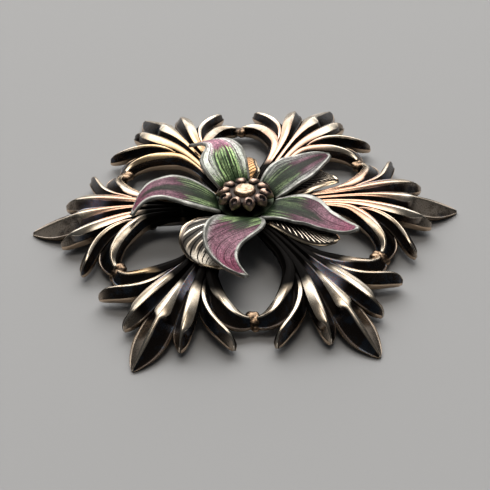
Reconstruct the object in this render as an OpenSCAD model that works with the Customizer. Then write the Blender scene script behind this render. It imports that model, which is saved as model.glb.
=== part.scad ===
// Flower brooch: a pierced six-arm frame of fluted palmettes, a calyx of five
// engraved leaves, an enamelled corolla of five petals, a stamen boss on a post
// and a pin fitting on the back. Millimetres, +Z up, resting on the six leaf tips.

/* [Frame] */
// Radius from the centre to the tip of each middle leaf
tip_radius = 24; // [23:1:28]
// Radius of the hub under the flower, in hundredths of the tip radius
hub_size = 16; // [14:1:18]
// Radius of the solder knot between two palmettes, in hundredths of the tip radius
knot_size = 3.4; // [3:0.1:4]

/* [Flower] */
// Thickness of an enamelled petal
petal_thick = 0.45; // [0.4:0.05:0.55]
// Thickness of a calyx leaf
calyx_thick = 0.35; // [0.3:0.05:0.4]
// Number of anthers round the button
anthers = 10; // [9:1:12]
// Radius of the post that carries the flower
post_r = 0.9; // [0.8:0.1:1.0]

/* [Pin] */
// Diameter of the pin stem
stem_d = 0.9; // [0.7:0.1:1.0]
// Distance between the hinge block and the catch
pin_span = 21; // [18:1:22]

/* [Fit] */
// Gap between pieces that lie on each other
gap = 0.06; // [0.04:0.01:0.1]

/* [Hidden] */

// Leaf tables are in hundredths of the tip radius.
u = tip_radius / 100;
arms = 6;
blades = 5;
arm_turn = 360 / arms;
blade_turn = 360 / blades;

// Columns of a leaf table: distance out and to the side of the palmette's axis,
// height of the ridge, width of the face towards the axis and of the face away
// from it, height of the two edges, height of the underside.
OUT = 0;
SIDE = 1;
RIDGE = 2;
INNER = 3;
OUTER = 4;
EDGE = 5;
UNDER = 6;

middle_leaf = [
  [ 10, 0, 10.6, 2.8, 2.8, 10.0, 9.2],
  [ 22, 0, 13.8, 2.8, 2.8, 12.0, 9.2],
  [ 50, 0, 15.0, 3.4, 3.4, 12.0, 8.6],
  [ 62, 0, 14.6, 4.8, 4.8, 10.2, 6.4],
  [ 72, 0, 13.2, 6.4, 6.4,  8.0, 4.0],
  [ 80, 0, 11.2, 7.6, 7.6,  5.4, 1.8],
  [ 87, 0,  8.2, 7.4, 7.4,  3.4, 0.5],
  [ 93, 0,  5.2, 5.4, 5.4,  2.0, 0.0],
  [ 98, 0,  2.6, 2.4, 2.4,  1.4, 0.0],
  [100, 0,  1.6, 0.7, 0.7,  1.0, 0.0]];

flank_leaf = [
  [ 11,  2.0, 10.8, 1.9, 2.2, 10.1, 9.3],
  [ 24,  2.3, 13.9, 1.9, 2.5, 12.0, 9.1],
  [ 40,  2.9, 14.7, 2.1, 2.7, 12.3, 8.9],
  [ 52,  4.8, 15.0, 2.9, 3.6, 11.9, 8.3],
  [ 62,  7.8, 14.6, 4.4, 4.2, 10.3, 6.6],
  [ 72, 10.6, 13.2, 5.2, 4.4,  8.3, 4.7],
  [ 78, 12.2, 11.6, 4.8, 4.3,  6.8, 3.5],
  [ 82.5, 13.4, 9.4, 3.6, 3.4,  5.4, 2.8],
  [ 85.2, 14.1, 6.4, 1.0, 1.0,  4.4, 2.6]];

stub_leaf = [
  [ 46,  6.4, 12.0, 2.6, 2.4, 11.0, 8.9],
  [ 56,  8.8, 14.0, 3.3, 4.1, 11.1, 7.8],
  [ 63, 12.4, 13.4, 3.8, 4.8,  9.7, 6.1],
  [ 67.6, 17.4, 12.6, 3.8, 4.8,  7.9, 4.8],
  [ 70.4, 23.2, 11.2, 3.4, 4.2,  6.5, 3.7],
  [ 72.6, 28.6,  9.2, 3.0, 3.2,  5.3, 3.1],
  [ 74.6, 32.8,  6.0, 1.6, 1.6,  4.1, 2.9]];

link_leaf = [
  [ 12,  3.2, 11.0, 2.3, 2.2, 10.2, 9.3],
  [ 24,  3.9, 13.3, 2.4, 2.4, 11.5, 9.0],
  [ 36,  4.5, 14.3, 2.5, 2.6, 11.7, 8.7],
  [ 46,  7.3, 14.8, 3.4, 3.2, 10.5, 7.4],
  [ 54, 13.0, 13.8, 5.0, 4.2,  9.1, 5.8],
  [ 59, 20.0, 12.4, 6.0, 4.6,  7.5, 4.5],
  [ 60.6, 26.4, 10.3, 5.6, 4.4,  6.1, 3.6],
  [ 59.8, 30.4,  8.6, 4.2, 3.8,  5.0, 3.1],
  [ 58.2, 32.6,  7.4, 2.6, 2.6,  4.6, 3.0]];

// Shares of a leaf face's width and fall: middle of the hollow face, how far it
// sinks below a straight slope, and how far out the foot stands.
face_middle = 0.5;
face_sink = 0.12;
foot_share = 0.75;

// Solder blobs of a knot, in pairs that run into each other: distance out and to
// the side of the middle line, height, and share of the knot's radius.
BLOB_OUT = 0;
BLOB_SIDE = 1;
BLOB_HIGH = 2;
BLOB_SIZE = 3;
knot_blobs = [[65.7, -1.2, 5.8, 1.0], [66.7, 1.6, 5.2, 0.9]];
bead_blobs = [[67.2, 0.0, 5.2, 0.8], [69.8, 0.6, 3.6, 0.7]];

hub_low = 8.9;
hub_high = 11.6;
post_low = 9.9;
post_top = 19.5;

// Columns of a blade table: distance out from the centre, half the width, and
// the share of the arch reached there; past the crown it falls to the tip.
HALF = 1;
ARCH = 2;
FALLS = 3;

petal_rows = [
  [12, 8.0, 0.00, 0],
  [17, 9.2, 0.42, 0],
  [23, 9.8, 0.78, 0],
  [29, 9.8, 0.97, 0],
  [35, 8.8, 1.00, 1],
  [41, 7.2, 0.86, 1],
  [46, 5.4, 0.58, 1],
  [50, 3.4, 0.22, 1],
  [52.5, 1.0, 0.00, 1]];

calyx_rows = [
  [12, 7.0, 0.00, 0],
  [18, 8.6, 0.50, 0],
  [25, 10.0, 0.90, 0],
  [32, 10.6, 1.00, 1],
  [39, 9.4, 0.80, 1],
  [45, 5.8, 0.40, 1],
  [49, 0.7, 0.00, 1]];

// Columns of a whorl table: turn of the blade, height of its crown and of its
// tip, sideways hook of the tip, bow of the middle, rise of its edges, twist
// across it, and its length and width as shares of the full ones.
TURN = 0;
CROWN = 1;
TIP = 2;
HOOK = 3;
BOW = 4;
CUP = 5;
TWIST = 6;
REACH = 7;
WIDE = 8;

petals = [
  [-102.4, 24.6, 15.2,  8.5, -4.2,  0.6,  1.0, 0.91, 1.13],
  [ -31.4, 21.6, 16.2,  1.0,  0.0,  0.4, -0.5, 1.02, 1.00],
  [  36.6, 19.2, 16.8, -1.0,  0.0,  0.0, -0.4, 0.94, 0.90],
  [ 111.6, 23.4, 15.0, 12.0, -1.0,  0.4,  0.8, 0.90, 1.04],
  [ 184.6, 25.0, 17.0,  2.0,  0.0,  0.8,  0.6, 1.00, 1.00]];

calyx_leaves = [
  [-117.4, 17.6, 15.6,  3.0, -7.0, -0.6,  0, 0.90, 1.00],
  [ -35.4, 17.4, 15.4, -3.0,  0.0,  0.2,  0, 1.04, 1.00],
  [  22.6, 15.8, 14.6, -4.0,  0.0, -0.2,  0, 0.96, 1.00],
  [  95.6, 17.4, 15.4,  1.0,  0.0,  0.2,  0, 1.00, 1.00],
  [ 167.6, 17.4, 15.4,  1.0,  0.0,  0.2,  0, 1.00, 1.00]];

petal_ring_turn = -105.4;
calyx_ring_turn = -113.4;

calyx_base = hub_high * u + gap;
petal_base = calyx_base + calyx_thick + gap;
petal_top = petal_base + petal_thick;
across = [-1, -0.6, -0.2, 0.2, 0.6, 1];

// How late a blade's hook sets in, and how soon the rise of its edges dies away.
hook_power = 8;
lift_end = 1.15;

// The boss leans back, with its front edge raised.
boss_tilt = 8.5;
anther_ring = 10.6 * u;
anther_r = 2.5 * u;
anther_start = -83;
boss_r = 9.8 * u;
boss_base = petal_top + gap + (anther_ring + anther_r * 0.2) * sin(boss_tilt);
boss_thick = 2.3 * u;
button_r = 4.6 * u;
button_rise = 21.7 * u - boss_base;
button_chamfer = 0.25;
button_flare_r = 5.75 * u;
button_flare_high = 0.45 * button_rise;
bore_over = 1;

pin_axis_height = 0.9;
block_x = 2.6;
block_y = 6.2 * u;
block_low = 0.3;
block_high = 8.3 * u - gap;

function turned(p, angle) =
  [p[0] * cos(angle) - p[1] * sin(angle), p[0] * sin(angle) + p[1] * cos(angle)];

function unit(v) = v / norm(v);

// Side of one ring to the side of the next, as triangles, and the two end caps.
function tube_faces(rings, n) = concat(
  [for (k = [0:rings - 2], i = [0:n - 1])
    let (a = k * n + i, b = k * n + (i + 1) % n) [a, b, b + n]],
  [for (k = [0:rings - 2], i = [0:n - 1])
    let (a = k * n + i, b = k * n + (i + 1) % n) [a, b + n, a + n]],
  [for (i = [1:n - 2]) [0, i + 1, i]],
  [for (i = [1:n - 2]) let (s = (rings - 1) * n) [s, s + i, s + i + 1]]);

// Direction of a leaf in plan at one of its rows.
function heading(rows, k) =
  let (a = rows[max(k - 1, 0)], b = rows[min(k + 1, len(rows) - 1)])
  unit([b[OUT] - a[OUT], b[SIDE] - a[SIDE]]);

// Ridged section of a leaf: ridge, hollow faces, edges, feet and a flat back.
function leaf_ring(row, dir) =
  let (
    side = [-dir[1], dir[0]],
    slope = (row[RIDGE] + row[EDGE]) / 2 - face_sink * (row[RIDGE] - row[EDGE]),
    profile = [
      [0, row[RIDGE]],
      [row[OUTER] * face_middle, slope],
      [row[OUTER], row[EDGE]],
      [row[OUTER] * foot_share, row[UNDER]],
      [-row[INNER] * foot_share, row[UNDER]],
      [-row[INNER], row[EDGE]],
      [-row[INNER] * face_middle, slope]])
  [for (p = profile)
    [row[OUT] + side[0] * p[0], row[SIDE] + side[1] * p[0], p[1]] * u];

module leaf(rows) {
  rings = [for (k = [0:len(rows) - 1]) leaf_ring(rows[k], heading(rows, k))];
  n = len(rings[0]);
  polyhedron([for (r = rings) each r], tube_faces(len(rings), n));
}

module leaf_pair(rows) {
  leaf(rows);
  mirror([0, 1, 0]) leaf(rows);
}

module palmette() {
  leaf(middle_leaf);
  leaf_pair(flank_leaf);
  leaf_pair(stub_leaf);
  leaf_pair(link_leaf);
}

// Blob of solder between the link leaves of two palmettes, and the bead that
// has run out of it.
module blob(b) {
  translate([b[BLOB_OUT], b[BLOB_SIDE], b[BLOB_HIGH]] * u)
    sphere(r = knot_size * b[BLOB_SIZE] * u, $fn = 10);
}

module knot() {
  for (pair = [knot_blobs, bead_blobs]) hull() {
    blob(pair[0]);
    blob(pair[1]);
  }
}

// Post that stands on the hub and carries the flower.
module post() {
  translate([0, 0, post_low * u]) cylinder(r = post_r, h = (post_top - post_low) * u, $fn = 24);
}

module frame() {
  color("tan") {
    for (i = [0:arms - 1]) {
      rotate(i * arm_turn) palmette();
      rotate((i + 0.5) * arm_turn) knot();
    }
    translate([0, 0, hub_low * u]) cylinder(r = hub_size * u, h = (hub_high - hub_low) * u, $fn = 48);
    post();
  }
}

// Height of a blade's middle line at one of its rows.
function blade_z(row, blade, base) =
  row[FALLS] == 0
    ? base + (blade[CROWN] * u - base) * row[ARCH]
    : (blade[TIP] + (blade[CROWN] - blade[TIP]) * row[ARCH]) * u;

// Points across one row of a blade. The first row lies on the ring round the
// centre, so that neighbouring blades share its corners.
function blade_row(rows, k, blade, ring_turn, base) =
  let (
    start = rows[0][OUT],
    t = (rows[k][OUT] - start) / (rows[len(rows) - 1][OUT] - start),
    out = start + (rows[k][OUT] - start) * blade[REACH],
    drift = blade[HOOK] * pow(t, hook_power) + blade[BOW] * sin(180 * t * t),
    lift = sin(180 * min(1, t * lift_end)))
  [for (v = across) let (
      spot = k == 0
        ? turned([start * u, 0], ring_turn + v * blade_turn / 2)
        : turned([out, v * rows[k][HALF] * blade[WIDE] + drift] * u, blade[TURN]))
    [spot[0], spot[1],
      blade_z(rows[k], blade, base) + (blade[CUP] * v * v + blade[TWIST] * v) * lift * u]];

// A whorl of blades round a pierced disc, as one closed sheet.
module whorl(rows, table, ring_turn, base, thick, hole_r) {
  n = len(across);
  per = len(rows) * n;
  total = per * blades;
  lower = [for (b = [0:blades - 1], k = [0:len(rows) - 1])
    each blade_row(rows, k, table[b], ring_turn + b * blade_turn, base)];
  rim = [for (b = [0:blades - 1], i = [0:n - 2]) b * per + i];
  hole_n = len(rim);
  hole = [for (j = rim) unit([lower[j][0], lower[j][1]]) * hole_r];
  points = concat(
    [for (p = lower) p + [0, 0, thick]],
    lower,
    [for (p = hole) [p[0], p[1], base + thick]],
    [for (p = hole) [p[0], p[1], base]]);
  // Neighbouring blades share the corner on the ring: the last point of one
  // first row is the first point of the next.
  function at(b, k, i) = k == 0 && i == n - 1 ? ((b + 1) % blades) * per : b * per + k * n + i;
  cells = [for (b = [0:blades - 1], k = [0:len(rows) - 2], i = [0:n - 2])
    [at(b, k, i), at(b, k + 1, i), at(b, k + 1, i + 1), at(b, k, i + 1)]];
  edge = [for (b = [0:blades - 1]) each concat(
    [for (k = [0:len(rows) - 2]) [at(b, k, 0), at(b, k + 1, 0)]],
    [for (i = [0:n - 2]) [at(b, len(rows) - 1, i), at(b, len(rows) - 1, i + 1)]],
    [for (k = [len(rows) - 2:-1:0]) [at(b, k + 1, n - 1), at(b, k, n - 1)]])];
  inner = [for (j = [0:hole_n - 1]) [rim[j], rim[(j + 1) % hole_n], j, (j + 1) % hole_n]];
  h = 2 * total;
  polyhedron(points, concat(
    [for (c = cells) [c[0], c[2], c[1]]],
    [for (c = cells) [c[0], c[3], c[2]]],
    [for (c = cells) [c[0] + total, c[1] + total, c[2] + total]],
    [for (c = cells) [c[0] + total, c[2] + total, c[3] + total]],
    [for (e = edge) [e[0], e[1], e[1] + total]],
    [for (e = edge) [e[0], e[1] + total, e[0] + total]],
    [for (q = inner) [q[0], h + q[3], q[1]]],
    [for (q = inner) [q[0], h + q[2], h + q[3]]],
    [for (q = inner) [q[0] + total, q[1] + total, h + hole_n + q[3]]],
    [for (q = inner) [q[0] + total, h + hole_n + q[3], h + hole_n + q[2]]],
    [for (q = inner) [h + q[2], h + hole_n + q[3], h + q[3]]],
    [for (q = inner) [h + q[2], h + hole_n + q[2], h + hole_n + q[3]]]));
}

module calyx() {
  color("goldenrod")
    whorl(calyx_rows, calyx_leaves, calyx_ring_turn, calyx_base, calyx_thick, post_r + gap);
}

module corolla() {
  color("plum")
    whorl(petal_rows, petals, petal_ring_turn, petal_base, petal_thick, post_r + gap);
}

// Boss that slips over the post, with a ring of anthers round a raised button.
module stamens() {
  color("rosybrown") difference() {
    translate([0, 0, boss_base]) rotate([-boss_tilt, 0, 0]) union() {
      cylinder(r = boss_r, h = boss_thick);
      for (i = [0:anthers - 1]) rotate(anther_start + i * 360 / anthers)
        translate([anther_ring, 0, anther_r]) sphere(r = anther_r);
      rotate_extrude() polygon([
        [0, 0], [button_flare_r, 0], [button_r, button_flare_high],
        [button_r, button_rise - button_chamfer],
        [button_r - button_chamfer, button_rise], [0, button_rise]]);
    }
    translate([0, 0, boss_base - bore_over])
      cylinder(r = post_r + gap, h = post_top * u + gap - boss_base + bore_over);
  }
}

module pin_fitting() {
  color("silver") {
    translate([-pin_span / 2, 0, pin_axis_height]) rotate([0, 90, 0]) cylinder(d = stem_d, h = pin_span);
    for (end = [-1, 1])
      translate([end * pin_span / 2 - block_x / 2, -block_y / 2, block_low])
        cube([block_x, block_y, block_high - block_low]);
  }
}

frame();
calyx();
corolla();
stamens();
pin_fitting();
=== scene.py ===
"""Flower brooch: fluted palmettes of oxidised silver round an enamelled flower.

Lengths are in metres. Shapes are given in hundredths of the radius to the leaf tips,
which comes from the frame, and each is turned into metres by U.
"""
import math

import bmesh
import bpy
from mathutils import Matrix, Vector


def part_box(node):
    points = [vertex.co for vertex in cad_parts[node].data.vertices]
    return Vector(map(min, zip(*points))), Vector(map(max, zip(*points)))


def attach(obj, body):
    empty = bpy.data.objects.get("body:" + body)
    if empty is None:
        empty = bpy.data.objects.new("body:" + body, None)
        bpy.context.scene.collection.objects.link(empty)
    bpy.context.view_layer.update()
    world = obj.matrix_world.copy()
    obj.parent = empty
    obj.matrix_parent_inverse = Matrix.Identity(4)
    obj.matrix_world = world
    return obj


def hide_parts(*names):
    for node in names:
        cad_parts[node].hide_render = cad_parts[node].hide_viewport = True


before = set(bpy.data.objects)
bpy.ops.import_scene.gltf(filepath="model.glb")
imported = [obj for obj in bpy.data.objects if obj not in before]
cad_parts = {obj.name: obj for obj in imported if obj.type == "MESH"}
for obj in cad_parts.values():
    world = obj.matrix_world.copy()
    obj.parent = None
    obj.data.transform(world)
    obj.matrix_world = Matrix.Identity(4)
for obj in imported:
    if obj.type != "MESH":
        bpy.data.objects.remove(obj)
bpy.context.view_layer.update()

TIP_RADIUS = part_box("frame")[1].x
U = TIP_RADIUS / 100
MM = 0.001

ARMS = 6
ARM_TURN = 360 / ARMS


# Modelling by hand: a piece is started from a primitive, then what is picked is moved.

def to_object_mode():
    if bpy.context.mode != "OBJECT":
        bpy.ops.object.mode_set(mode="OBJECT")


def deselect_all():
    to_object_mode()
    bpy.ops.object.select_all(action="DESELECT")


def make_active(piece):
    deselect_all()
    piece.select_set(True)
    bpy.context.view_layer.objects.active = piece


def pick_all():
    bpy.ops.mesh.select_all(action="SELECT")


def edit(piece):
    """Opens a piece for editing, all of it selected."""
    make_active(piece)
    bpy.ops.object.mode_set(mode="EDIT")
    pick_all()


def pick(piece, verts=(), edges=(), faces=()):
    """Selects only the numbered vertices, edges or faces of the piece that is edited."""
    bpy.ops.mesh.select_all(action="DESELECT")
    shape = bmesh.from_edit_mesh(piece.data)
    for part, numbers in ((shape.verts, verts), (shape.edges, edges), (shape.faces, faces)):
        part.ensure_lookup_table()
        for number in numbers:
            part[number].select_set(True)
    if verts:
        shape.select_flush(True)


def pick_faces(piece, test):
    """Selects the faces whose middle and normal pass a test."""
    shape = bmesh.from_edit_mesh(piece.data)
    pick(piece, faces=[f.index for f in shape.faces if test(f.calc_center_median(), f.normal)])


def pick_ends(piece, *ways, level=0.9):
    """Selects the faces that look up (1), down (-1) or both."""
    pick_faces(piece, lambda middle, normal: any(normal.z * way > level for way in ways))


def move(offset):
    bpy.ops.transform.translate(value=offset)


def stretch(scale, centre=(0, 0, 0)):
    bpy.ops.transform.resize(value=scale, center_override=centre)


def turn(degrees, axis="Z", centre=(0, 0, 0)):
    """Turns what is selected, counterclockwise seen from the axis's positive end."""
    bpy.ops.transform.rotate(value=-math.radians(degrees), orient_axis=axis, center_override=centre)


def turn_piece(piece, degrees):
    edit(piece)
    turn(degrees)
    to_object_mode()


def name_new(name):
    """Names the piece that was just made."""
    piece = bpy.context.object
    piece.name = piece.data.name = name
    return piece


def start(name, add, **size):
    """Adds a primitive at the origin and opens it for editing, all of it selected."""
    deselect_all()
    add(**size)
    piece = name_new(name)
    edit(piece)
    return piece


def start_cylinder(name, vertices, radius, height, bottom=0.0):
    """A cylinder that stands on the axis, opened for editing."""
    piece = start(name, bpy.ops.mesh.primitive_cylinder_add,
                  vertices=vertices, radius=radius, depth=height)
    move((0, 0, bottom + height / 2))
    return piece


def start_sheet(name, columns, rows):
    """A flat sheet, two units each way, with its own UV map: columns along X, rows along Y.

    Also gives the places of its vertices, and their numbers row by row.
    """
    sheet = start(name, bpy.ops.mesh.primitive_grid_add, x_subdivisions=columns - 1,
                  y_subdivisions=rows - 1, size=2, calc_uvs=True)
    bpy.ops.mesh.select_mode(type="VERT")
    flat = [v.co.copy() for v in bmesh.from_edit_mesh(sheet.data).verts]
    return sheet, flat, [list(range(k * columns, (k + 1) * columns)) for k in range(rows)]


def copy_piece(piece, name):
    make_active(piece)
    bpy.ops.object.duplicate(linked=False)
    return name_new(name)


def join(pieces, name):
    make_active(pieces[0])
    for piece in pieces:
        piece.select_set(True)
    bpy.ops.object.join()
    return name_new(name)


def apply_modifier(piece, kind, **settings):
    make_active(piece)
    bpy.ops.object.modifier_add(type=kind)
    modifier = piece.modifiers[-1]
    for key, value in settings.items():
        setattr(modifier, key, value)
    bpy.ops.object.modifier_apply(modifier=modifier.name)


def smooth(piece, degrees=40):
    make_active(piece)
    bpy.ops.object.shade_smooth_by_angle(angle=math.radians(degrees))


def curve_value(table, column, t):
    """Value of a table's column at t from 0 to 1 along its rows, on a smooth curve through them."""
    last = len(table) - 1
    place = t * last
    k = min(int(place), last - 1)
    s = place - k
    p1, p2 = table[k][column], table[k + 1][column]
    p0 = table[k - 1][column] if k else 2 * p1 - p2
    p3 = table[k + 2][column] if k + 2 <= last else 2 * p2 - p1
    return 0.5 * (2 * p1 + (p2 - p0) * s + (2 * p0 - 5 * p1 + 4 * p2 - p3) * s * s
                  + (3 * p1 - p0 - 3 * p2 + p3) * s ** 3)


# Leaves of a palmette. Columns: distance out and to the side of the palmette's axis,
# height of the crest, width of the face towards the axis and away from it, height of
# the two edges and of the underside, and the share of each face that is roof: gently
# sloped from the crest to a shoulder, with a steep hollow wall beyond it.
OUT, SIDE, CREST, INNER, OUTER, EDGE, UNDER, IN_ROOF, OUT_ROOF = range(9)

MIDDLE_LEAF = (
    (14, 0, 11.6, 2.8, 2.8, 10.4, 9.2, 0.25, 0.25),
    (26, 0, 14, 2.8, 2.8, 12, 9.1, 0.25, 0.25),
    (38, 0, 14.7, 3, 3, 12.1, 8.9, 0.25, 0.25),
    (50, 0, 15, 3.5, 3.5, 12, 8.6, 0.25, 0.25),
    (58, 0, 14.9, 4.4, 4.4, 11, 7.2, 0.28, 0.28),
    (64, 0, 14.5, 5.2, 5.2, 9.8, 5.9, 0.36, 0.36),
    (69, 0, 13.9, 6, 6, 8.7, 4.7, 0.44, 0.44),
    (73, 0, 13.3, 6.6, 6.6, 7.7, 3.7, 0.52, 0.52),
    (75.6, 0, 12.8, 7, 7, 7, 3, 0.5, 0.5),
    (77.4, 0, 12.3, 7.2, 7.2, 6.5, 2.6, 0.28, 0.28),
    (79, 0, 11.7, 7.4, 7.4, 5.9, 2.2, 0.13, 0.13),
    (83, 0, 10.1, 7.7, 7.7, 4.6, 1.3, 0.13, 0.13),
    (88, 0, 7.8, 7.3, 7.3, 3.2, 0.5, 0.13, 0.13),
    (92.5, 0, 5.5, 5.8, 5.8, 2.2, 0.1, 0.13, 0.13),
    (96.5, 0, 3.4, 3.6, 3.6, 1.6, 0, 0.13, 0.13),
    (99, 0, 2.2, 1.7, 1.7, 1.3, 0, 0.2, 0.2),
    (100, 0, 1.5, 0.6, 0.6, 1, 0, 0.3, 0.3))

FLANK_LEAF = (
    (14, 2, 11.8, 1.9, 2.3, 10.5, 9.3, 0.3, 0.4),
    (26, 2.4, 14.1, 1.9, 2.5, 12, 9.1, 0.3, 0.4),
    (40, 2.9, 14.8, 2.1, 2.7, 12.3, 8.9, 0.35, 0.45),
    (52, 4.7, 15.1, 2.9, 3.6, 11.9, 8.3, 0.46, 0.55),
    (60, 6.8, 14.9, 3.9, 4, 10.8, 7, 0.42, 0.7),
    (67, 8.7, 14.2, 4.6, 4.1, 9.4, 5.7, 0.32, 0.82),
    (72, 10, 13.3, 4.8, 4, 8.3, 4.7, 0.26, 0.86),
    (76, 11, 12.2, 4.7, 3.8, 7.3, 3.9, 0.22, 0.84),
    (78.6, 11.7, 11.3, 4.4, 3.6, 6.7, 3.5, 0.19, 0.55),
    (80.2, 12.2, 10.5, 4, 3.3, 6.2, 3.2, 0.17, 0.18),
    (82.4, 12.8, 8.9, 3.1, 2.8, 5.6, 2.9, 0.14, 0.12),
    (84, 13.2, 7.2, 1.9, 1.8, 4.9, 2.7, 0.14, 0.14),
    (85, 13.4, 5.8, 0.7, 0.7, 4.4, 2.6, 0.25, 0.25))

STUB_LEAF = (
    (42, 5.6, 10.4, 2.2, 2, 10, 9, 0.12, 0.2),
    (50, 7.2, 13, 2.8, 2.6, 11.1, 8.5, 0.12, 0.22),
    (56, 9, 14, 3.2, 3.2, 11, 7.8, 0.12, 0.26),
    (62, 12.2, 13.7, 3.4, 3.6, 9.9, 6.3, 0.12, 0.34),
    (66.6, 16.8, 12.9, 3.3, 3.6, 8.4, 5.1, 0.12, 0.4),
    (69.4, 22, 12, 3.3, 3.2, 7.2, 4.2, 0.12, 0.4),
    (71, 26.8, 10.9, 3.4, 2.6, 6.2, 3.6, 0.12, 0.36),
    (72.2, 30, 9.6, 3.1, 2.1, 5.4, 3.1, 0.12, 0.3),
    (73.4, 32, 7.8, 2.3, 1.6, 4.6, 2.9, 0.14, 0.22),
    (74.5, 32.9, 5.8, 0.8, 0.8, 4.1, 2.9, 0.2, 0.2))

LINK_LEAF = (
    (14, 3.3, 11.6, 2.3, 2.2, 10.4, 9.3, 0.35, 0.3),
    (25, 3.9, 13.4, 2.4, 2.4, 11.5, 9, 0.35, 0.3),
    (36, 4.5, 14.3, 2.5, 2.6, 11.7, 8.7, 0.4, 0.34),
    (46, 7, 14.8, 3.4, 3.3, 10.5, 7.4, 0.48, 0.46),
    (51, 10.2, 14.4, 4.2, 3.9, 9.6, 6.4, 0.46, 0.58),
    (55, 13.9, 13.7, 5, 4.4, 8.7, 5.6, 0.36, 0.66),
    (57.2, 16.6, 13.1, 5.7, 4.6, 8.1, 5.1, 0.22, 0.68),
    (58.8, 19.2, 12.5, 6.1, 4.6, 7.6, 4.7, 0.14, 0.66),
    (60.4, 23.4, 11.3, 6.4, 4.6, 6.7, 4, 0.12, 0.58),
    (60.8, 27.2, 10, 6, 4.2, 5.9, 3.5, 0.12, 0.46),
    (60, 30.4, 8.7, 4.8, 3.6, 5.1, 3.1, 0.14, 0.34),
    (58.6, 32.8, 7.6, 3, 2.7, 4.7, 3, 0.2, 0.26))

# Section of a leaf on each side of its crest. Roof columns: share of the way to the
# shoulder, and of the fall to it. Wall columns: share of the way from the shoulder to
# the edge, then the height as a share of the shoulder's for a hollow and for a flat
# wall; the last three make the lip along the edge.
ROOF_COLUMNS = ((0.3, 0.22), (0.65, 0.56), (1.0, 1.0))
WALL_COLUMNS = (
    (0.1, 0.7, 0.87), (0.24, 0.43, 0.7), (0.4, 0.22, 0.51), (0.57, 0.08, 0.32), (0.73, 0.01, 0.15),
    (0.84, 0.02, 0.05), (0.92, 0.13, 0.13), (1, 0.03, 0.04))
HALF_COLUMNS = len(ROOF_COLUMNS) + len(WALL_COLUMNS)
LEAF_ROWS = 34
# How steep a roof is and how far a shoulder may fall from its crest, the shares of roof
# between which a wall turns from flat to hollow, and how wide the underside is.
ROOF_SLOPE = 0.36
LEAST_SHOULDER = 0.55
HOLLOW_FROM, HOLLOW_TO = 0.12, 0.32
FOOT_SHARE = 0.8
CREST_CREASE, SHOULDER_CREASE, LIP_CREASE = 1.0, 0.8, 0.45
# Share of a leaf over which its heading is taken, and what counts as off its axis.
HEADING_STEP, OFF_AXIS = 0.02, 1e-4


# Finishes. Each is a shader built from nodes.

class Nodes:
    """Short ways to add nodes to a shader's tree and link them."""

    def __init__(self, tree):
        self.tree = tree

    def node(self, kind, inputs=(), **settings):
        node = self.tree.nodes.new(kind)
        for key, value in settings.items():
            setattr(node, key, value)
        for key, value in dict(inputs).items():
            self.put(value, node.inputs[key])
        return node

    def put(self, value, socket):
        if isinstance(value, bpy.types.NodeSocket):
            self.tree.links.new(value, socket)
        else:
            socket.default_value = value

    def math(self, operation, value, *others):
        """One math node after another, from left to right."""
        for other in others or (0.0,):
            value = self.node("ShaderNodeMath", {0: value, 1: other}, operation=operation).outputs[0]
        return value

    def plus(self, *values):
        return self.math("ADD", *values)

    def minus(self, value, other):
        return self.math("SUBTRACT", value, other)

    def times(self, *values):
        return self.math("MULTIPLY", *values)

    def most(self, *values):
        return self.math("MAXIMUM", *values)

    def size(self, value):
        return self.math("ABSOLUTE", value)

    def wave(self, value):
        return self.math("SINE", value)

    def vector(self, operation, a, b=(0, 0, 0)):
        node = self.node("ShaderNodeVectorMath", {0: a, 1: b}, operation=operation)
        return node.outputs["Value" if operation in ("LENGTH", "DISTANCE") else "Vector"]

    def step(self, value, low, high, start=0.0, end=1.0):
        """Smooth step from start to end as the value goes from low to high."""
        return self.node("ShaderNodeMapRange", {
            "Value": value, "From Min": low, "From Max": high, "To Min": start, "To Max": end,
        }, interpolation_type="SMOOTHSTEP").outputs["Result"]

    def mix(self, share, a, b):
        """Colour a where the share is 0 and b where it is 1."""
        node = self.node("ShaderNodeMix", {0: share}, data_type="RGBA")
        for colour, socket in ((a, node.inputs[6]), (b, node.inputs[7])):
            self.put((*colour, 1) if isinstance(colour, tuple) else colour, socket)
        return node.outputs[2]

    def noise(self, vector, scale, detail, rough):
        return self.node("ShaderNodeTexNoise", {
            "Vector": vector, "Scale": scale, "Detail": detail, "Roughness": rough}).outputs["Fac"]

    def ramp(self, value, stops):
        node = self.node("ShaderNodeValToRGB", {"Fac": value})
        bar = node.color_ramp
        for place, _ in stops[2:]:
            bar.elements.new(place)
        for element, (place, colour) in zip(bar.elements, sorted(stops)):
            element.position = place
            element.color = (*colour, 1)
        return node.outputs["Color"]


class Finish(Nodes):
    """A material whose surface is made of nodes."""

    def __init__(self, name):
        self.material = bpy.data.materials.new(name)
        self.material.use_nodes = True
        super().__init__(self.material.node_tree)
        self.shader = self.tree.nodes["Principled BSDF"]

    def set(self, **values):
        for key, value in values.items():
            self.put(value, self.shader.inputs[key.replace("_", " ")])

    def bump(self, height, depth, strength):
        """Normals of a relief whose depth is in millimetres."""
        return self.node("ShaderNodeBump", {
            "Height": height, "Distance": depth * MM, "Strength": strength}).outputs["Normal"]

    def places(self):
        """Object coordinates, the UV map's two parts and the distance from the axis in U."""
        coordinates = self.node("ShaderNodeTexCoord").outputs
        u, v, _ = self.node("ShaderNodeSeparateXYZ", {0: coordinates["UV"]}).outputs
        place = coordinates["Object"]
        far = self.vector("LENGTH", self.vector("MULTIPLY", place, (1, 1, 0)))
        return place, u, v, self.math("DIVIDE", far, U)

    def crevice(self, reach, low, high, inside=1, outside=0):
        """Inside a crevice or outside it, by how much a point sees within a reach in U."""
        seen = self.node("ShaderNodeAmbientOcclusion", {"Distance": reach * U}, samples=8)
        return self.step(seen.outputs["AO"], low, high, inside, outside)


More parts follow.
